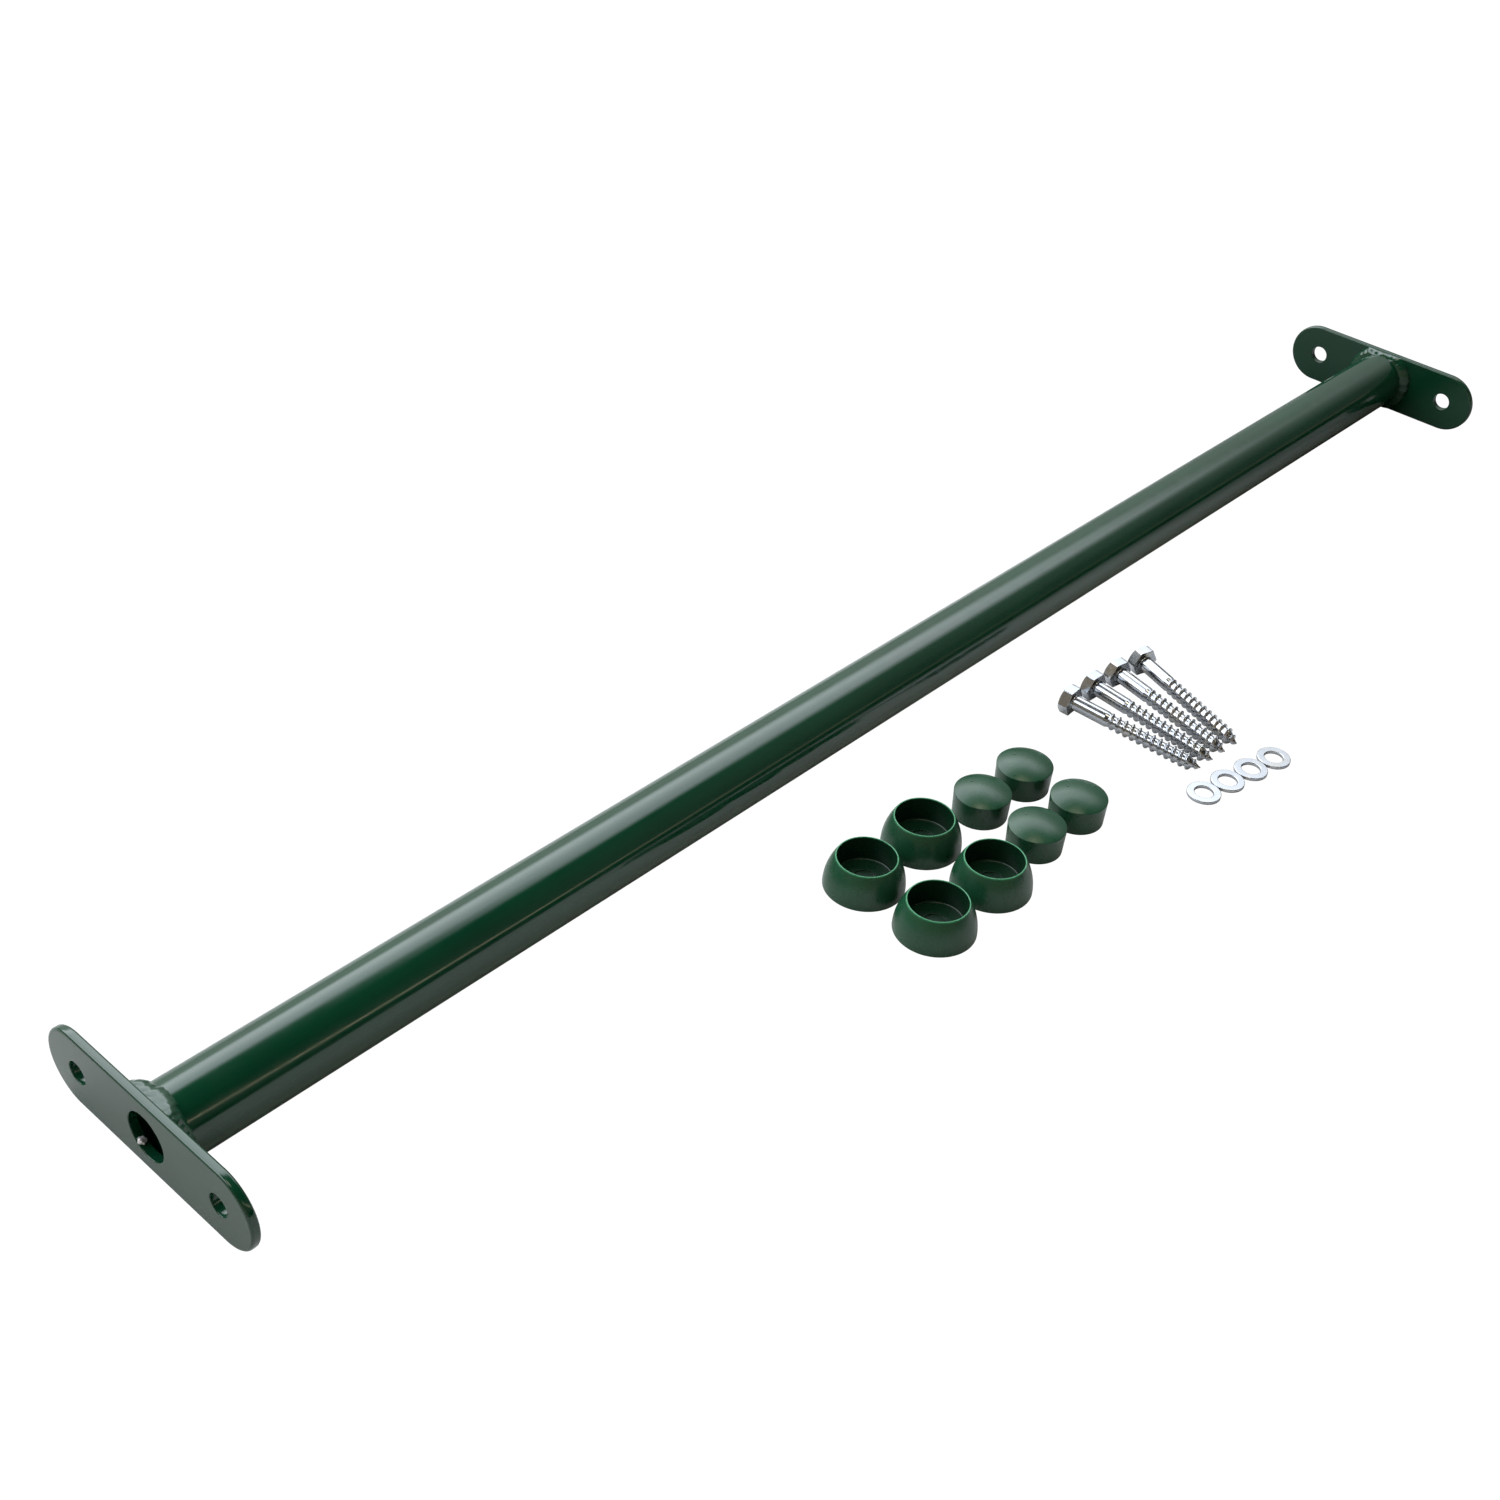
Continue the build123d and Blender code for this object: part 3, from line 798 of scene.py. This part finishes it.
def head_rows():
    """Rows of (radius, or the outline that gives it, height, how far outside that outline)."""
    top = HEAD_TOP_RADIUS
    fillet = HEAD_FILLET
    edge = HEAD_EDGE
    return [
        (SHANK_RADIUS, SHANK_LENGTH, 0),
        (SHANK_RADIUS, fillet, 0),
        (SHANK_RADIUS + 0.3 * fillet, 0.3 * fillet, 0),
        (SHANK_RADIUS + fillet, 0.0, 0),
        ("hexagon", 0.0, -edge),
        ("hexagon", -edge, 0),
        ("chamfer", -HEAD_HEIGHT, 0),
        (top, -HEAD_HEIGHT, 0),
        (top - 2 * edge, -HEAD_HEIGHT, 0),
        (0.5 * top, -HEAD_HEIGHT, 0),
        (0.45 * top, -HEAD_HEIGHT + edge, 0),
        (0.0, -HEAD_HEIGHT + edge, 0),
    ]


def hexagon_radius(turn):
    """Distance from a screw head's axis to its side, corners slightly blunted by the plating."""
    off_flat = (turn % (math.pi / 3)) - math.pi / 6
    blunt = HEAD_CORNER_LEFT * HEAD_FLATS / 2 / math.cos(math.pi / 6)
    return min(HEAD_FLATS / 2 / math.cos(off_flat), blunt)


def headed_blank():
    """Head and plain shank as one bmesh: bearing face at height 0, thread side upwards."""
    shape = bmesh.new()
    per_side = THREAD_SEGMENTS // 6
    rings = []
    for kind, height, offset in head_rows():
        if kind == 0.0:
            rings.append([shape.verts.new((0, 0, height))] * THREAD_SEGMENTS)
            continue
        loop = []
        for step in range(THREAD_SEGMENTS):
            side, place = divmod(step, per_side)
            # even steps for the shank, and steps gathered at the corners for the hexagon
            even = (side + place / per_side) * math.pi / 3
            gathered = (side + (1 - math.cos(math.pi * place / per_side)) / 2) * math.pi / 3
            if kind in ("hexagon", "chamfer"):
                turn = gathered
                radius = hexagon_radius(turn) + offset
            else:
                turn = even if height > -HEAD_HEIGHT / 2 else gathered
                radius = kind
            rise = 0.0
            if kind == "chamfer":
                rise = max(0.0, radius - HEAD_TOP_RADIUS) * math.tan(HEAD_CHAMFER)
            point = (radius * math.cos(turn), radius * math.sin(turn), height + rise)
            loop.append(shape.verts.new(point))
        rings.append(loop)
    for lower, upper in zip(rings, rings[1:]):
        for step in range(THREAD_SEGMENTS):
            after = (step + 1) % THREAD_SEGMENTS
            corners = list(dict.fromkeys([lower[step], lower[after], upper[after], upper[step]]))
            shape.faces.new(corners)
    return shape


wood_thread = thread_tree()
thread_mesh = grown(
    "wood_thread",
    wood_thread,
    {
        "Start": SHANK_LENGTH,
        "End": SCREW_LENGTH,
        "Pitch": THREAD_PITCH,
        "Shank Radius": SHANK_RADIUS,
        "Thread Radius": THREAD_RADIUS,
        "Core Radius": CORE_RADIUS,
        "Crest": THREAD_CREST,
        "Flank": THREAD_FLANK,
        "Point": POINT_LENGTH,
        "Rows Per Turn": THREAD_ROWS,
        "Segments": THREAD_SEGMENTS,
        "Plating": zinc_plate,
    },
)
tilt = math.atan2(HEAD_FLATS / 2 - THREAD_RADIUS, SCREW_LENGTH - POINT_LENGTH)
row_turn = math.radians(SCREW_TIP_ROW_TURN)
for index in range(4):
    shape = headed_blank()
    shape.from_mesh(thread_mesh)
    heading = math.radians(SCREW_HEADING + index * SCREW_HEADING_STEP)
    flat_way = Vector((math.cos(heading), math.sin(heading), 0))
    axis = flat_way * math.cos(tilt) - Vector((0, 0, math.sin(tilt)))
    side = Vector((-math.sin(heading), math.cos(heading), 0))
    tip_x = SCREW_TIP_START[0] + index * SCREW_TIP_PITCH * math.cos(row_turn)
    tip_y = SCREW_TIP_START[1] + index * SCREW_TIP_PITCH * math.sin(row_turn)
    under_head = Vector((tip_x, tip_y, 0)) - axis * SCREW_LENGTH
    under_head.z = floor_z + math.cos(tilt) * HEAD_FLATS / 2
    place = Matrix((side, axis.cross(side), axis)).transposed().to_4x4()
    place.translation = under_head
    screw = piece_from(f"coach_screw_{index + 1}", shape, place)
    stands_for(screw, f"lag_screw_{index + 1}", f"lag_screw_{index + 1}_body", zinc_plate)

# ---- washers -----------------------------------------------------------------------------------
# Flat M8 washers, 9 by 16 by 1.6 mm, blanked from strip: the punch leaves the top edges round
# and the lower edges sharp. Zinc plated with the screws.
WASHER_SEGMENTS = 96
WASHER_HOLE_RADIUS = 0.0045
PUNCHED_EDGE = 0.00035
CUT_EDGE = 0.00012


def on_floor(low, high):
    """The place at the middle of a box's footprint."""
    return Matrix.Translation(((low.x + high.x) / 2, (low.y + high.y) / 2, low.z))


for index in range(1, 5):
    low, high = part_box(f"washer_{index}")
    outer = (high.x - low.x) / 2
    thick = high.z - low.z
    outline = rounded(
        [
            (WASHER_HOLE_RADIUS, 0.0, CUT_EDGE),
            (outer, 0.0, CUT_EDGE),
            (outer, thick, PUNCHED_EDGE),
            (WASHER_HOLE_RADIUS, thick, PUNCHED_EDGE),
        ]
    )
    washer = turned(f"flat_washer_{index}", outline, WASHER_SEGMENTS, on_floor(low, high))
    stands_for(washer, f"washer_{index}", f"washer_{index}_body", zinc_plate)

# ---- cover bases -------------------------------------------------------------------------------
# Lower halves of the screw covers, moulded in polypropylene: a barrel-sided cup with a straight
# bore, and a thinned disc in its floor that the screw is driven through.
COVER_SEGMENTS = 128
BASE_BORE_RADIUS = 0.013
BASE_RIM_RADIUS = 0.0135
BASE_FOOT_ROUND = 0.0003
BASE_FLOOR = 0.0035
KNOCKOUT_RADIUS = 0.00525
KNOCKOUT_TOP = 0.003
KNOCKOUT_SKIN = 0.0008
KNOCKOUT_LIP = 0.0002
RIM_HIGHLIGHT_DEPTH = 0.00035
BORE_SHADE = 0.45
PLASTIC_GREEN = "16432b"
PLASTIC_GREEN_DEEP = "103522"
PLASTIC_RIM_HIGHLIGHT = "2f7a52"

# Moulded polypropylene: satin, a shade greyer than the coat, with a fine spark-eroded grain. The thin rim
# is painted lighter, a painted highlight, and the bore is painted darker, a painted shade for its depth.
moulded_plastic, tree, skin = shader("moulded_polypropylene")
where = add(tree, "ShaderNodeTexCoord").outputs["Object"]
tint = blend(tree, speckle(tree, where, 12, 4.0), linear(PLASTIC_GREEN_DEEP), linear(PLASTIC_GREEN))
fleck = speckle(tree, where, 0.45, 2.0)
fleck_level = add(tree, "ShaderNodeMapRange", fleck, 0.35, 0.65, 0.85, 1.15)
# painted shade: the wall of the cup's bore is painted darker
bore = add(tree, "ShaderNodeAttribute", attribute_name="painted_bore_shade")
bore_level = add(tree, "ShaderNodeMapRange", bore.outputs["Fac"], 0.0, 1.0, 1.0, BORE_SHADE)
shade = add(tree, "ShaderNodeMath", fleck_level, bore_level, operation="MULTIPLY")
flecked = add(tree, "ShaderNodeVectorMath", tint, operation="SCALE")
tree.links.new(shade.outputs[0], flecked.inputs["Scale"])
# painted highlight: a lighter green is mixed in along the top of the rim
thin = add(tree, "ShaderNodeAttribute", attribute_name="painted_rim_highlight")
rim_highlight_paint = blend(tree, thin.outputs["Fac"], flecked, linear(PLASTIC_RIM_HIGHLIGHT))
tree.links.new(rim_highlight_paint, skin.inputs["Base Color"])
sheen = speckle(tree, where, 4, 3.0)
sheen_level = add(tree, "ShaderNodeMapRange", sheen, 0.3, 0.7, 0.26, 0.34)
tree.links.new(sheen_level.outputs[0], skin.inputs["Roughness"])
grain_bump = relief(tree, speckle(tree, where, 0.5, 2.0), 0.18, 0.00002)
tree.links.new(grain_bump.outputs[0], skin.inputs["Normal"])
skin.inputs["IOR"].default_value = 1.49
skin.inputs["Specular IOR Level"].default_value = 0.38


def barrel_wall(foot, rim, steps=20):
    """Points up an arc that leaves the foot upright and ends at the rim, ends left out."""
    across = foot[0] - rim[0]
    rise = rim[1] - foot[1]
    radius = (across * across + rise * rise) / (2 * across)
    sweep = math.asin(rise / radius)
    points = []
    for step in range(1, steps):
        angle = sweep * step / steps
        points.append((foot[0] - radius * (1 - math.cos(angle)), foot[1] + radius * math.sin(angle)))
    return points


for index in range(1, 5):
    low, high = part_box(f"cover_base_{index}")
    foot_radius = (high.x - low.x) / 2
    tall = high.z - low.z
    under = KNOCKOUT_TOP - KNOCKOUT_SKIN
    # the end corners left out of both outlines only give their neighbours' arcs a direction
    lower = rounded(
        [
            (0.0, under, 0),
            (KNOCKOUT_RADIUS, under, 0.0002),
            (KNOCKOUT_RADIUS, 0.0, 0.0002),
            (foot_radius, 0.0, BASE_FOOT_ROUND),
            (foot_radius, tall, 0),
        ]
    )[:-1]
    wall = barrel_wall((foot_radius, BASE_FOOT_ROUND), (BASE_RIM_RADIUS, tall))
    cup = rounded(
        [
            (BASE_RIM_RADIUS + 0.002, tall - 0.003, 0),
            (BASE_RIM_RADIUS, tall, 0.00022),
            (BASE_BORE_RADIUS, tall, 0.0002),
            (BASE_BORE_RADIUS, tall - 2 * RIM_HIGHLIGHT_DEPTH, 0),
            (BASE_BORE_RADIUS, BASE_FLOOR, 0.0008),
            (KNOCKOUT_RADIUS + 2 * KNOCKOUT_LIP, BASE_FLOOR, 0.0001),
            (KNOCKOUT_RADIUS + 1.5 * KNOCKOUT_LIP, BASE_FLOOR + KNOCKOUT_LIP, 0.00008),
            (KNOCKOUT_RADIUS, BASE_FLOOR + KNOCKOUT_LIP, 0.00008),
            (KNOCKOUT_RADIUS, KNOCKOUT_TOP, 0.00015),
            (0.0, KNOCKOUT_TOP, 0),
        ]
    )[1:]
    place = on_floor(low, high)
    base = turned(f"screw_cover_base_{index}", lower + wall + cup, COVER_SEGMENTS, place, closed=False)
    # painted highlight along the top of the rim, fading out a small depth below it, and painted shade down
    # the bore
    painted_rim_highlight = base.data.attributes.new("painted_rim_highlight", "FLOAT", "POINT")
    # painted shade: marks the bore wall, whose colour is darkened
    painted_bore_shade = base.data.attributes.new("painted_bore_shade", "FLOAT", "POINT")
    middle = (low + high) / 2
    for vertex in base.data.vertices:
        below_rim = high.z - vertex.co.z
        from_axis = (vertex.co - middle).xy.length
        inside = from_axis < BASE_BORE_RADIUS + 1e-5 and RIM_HIGHLIGHT_DEPTH < below_rim < tall - under
        painted_rim_highlight.data[vertex.index].value = max(0.0, 1 - below_rim / RIM_HIGHLIGHT_DEPTH)
        painted_bore_shade.data[vertex.index].value = 1.0 if inside else 0.0
    stands_for(base, f"cover_base_{index}", f"cover_base_{index}_body", moulded_plastic)

# ---- cover caps --------------------------------------------------------------------------------
# Upper halves of the screw covers: hollow plugs of the same plastic, with a low dome, a crisp
# edge that stops on the cup's rim, a tapered skirt and the pip of the moulding gate off centre.
CAP_FOOT_RADIUS = 0.01265
CAP_SKIRT_HEIGHT = 0.0122
CAP_WALL = 0.0015
GATE_RADIUS = 0.00055
GATE_HEIGHT = 0.00022
GATE_PLACE = 0.0065


def dome(rim_radius, rim_height, top_height, steps=16):
    """Points over a spherical dome from its rim to just short of its middle."""
    rise = top_height - rim_height
    radius = (rim_radius * rim_radius + rise * rise) / (2 * rise)
    sweep = math.asin(rim_radius / radius)
    points = []
    for step in range(steps):
        angle = sweep * (1 - step / steps)
        points.append((radius * math.sin(angle), top_height - radius * (1 - math.cos(angle))))
    return points


for index in range(1, 5):
    low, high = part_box(f"cover_cap_{index}")
    rim_radius = (high.x - low.x) / 2
    tall = high.z - low.z
    bore = CAP_FOOT_RADIUS - CAP_WALL
    inside = dome(bore, CAP_SKIRT_HEIGHT - CAP_WALL, tall - CAP_WALL)
    skirt = rounded(
        [
            (bore, CAP_SKIRT_HEIGHT - CAP_WALL, 0),
            (bore, 0.0, 0.0002),
            (CAP_FOOT_RADIUS, 0.0, 0.0002),
            (rim_radius, CAP_SKIRT_HEIGHT, 0.0003),
            (rim_radius - 0.003, CAP_SKIRT_HEIGHT + 0.0014, 0),
        ]
    )[1:-1]
    outside = dome(rim_radius, CAP_SKIRT_HEIGHT, tall)[1:]
    outline = [(0.0, tall - CAP_WALL)] + inside[::-1] + skirt + outside + [(0.0, tall)]
    place = on_floor(low, high)
    cap = turned(f"screw_cover_cap_{index}", outline, COVER_SEGMENTS, place, closed=False)
    rise = tall - CAP_SKIRT_HEIGHT
    dome_radius = (rim_radius * rim_radius + rise * rise) / (2 * rise)
    gate_foot = tall - GATE_PLACE * GATE_PLACE / (2 * dome_radius) - GATE_HEIGHT
    gate = rounded(
        [
            (GATE_RADIUS * 1.3, gate_foot, 0),
            (GATE_RADIUS, gate_foot + 2 * GATE_HEIGHT, 0.0001),
            (0.0, gate_foot + 2 * GATE_HEIGHT, 0),
        ]
    )
    shape = bmesh.new()
    shape.from_mesh(cap.data)
    pip = turned("gate_pip", gate, 24, place @ Matrix.Translation((0, GATE_PLACE, 0)), closed=False)
    shape.from_mesh(pip.data)
    shape.to_mesh(cap.data)
    shape.free()
    bpy.data.objects.remove(pip)
    stands_for(cap, f"cover_cap_{index}", f"cover_cap_{index}_body", moulded_plastic)
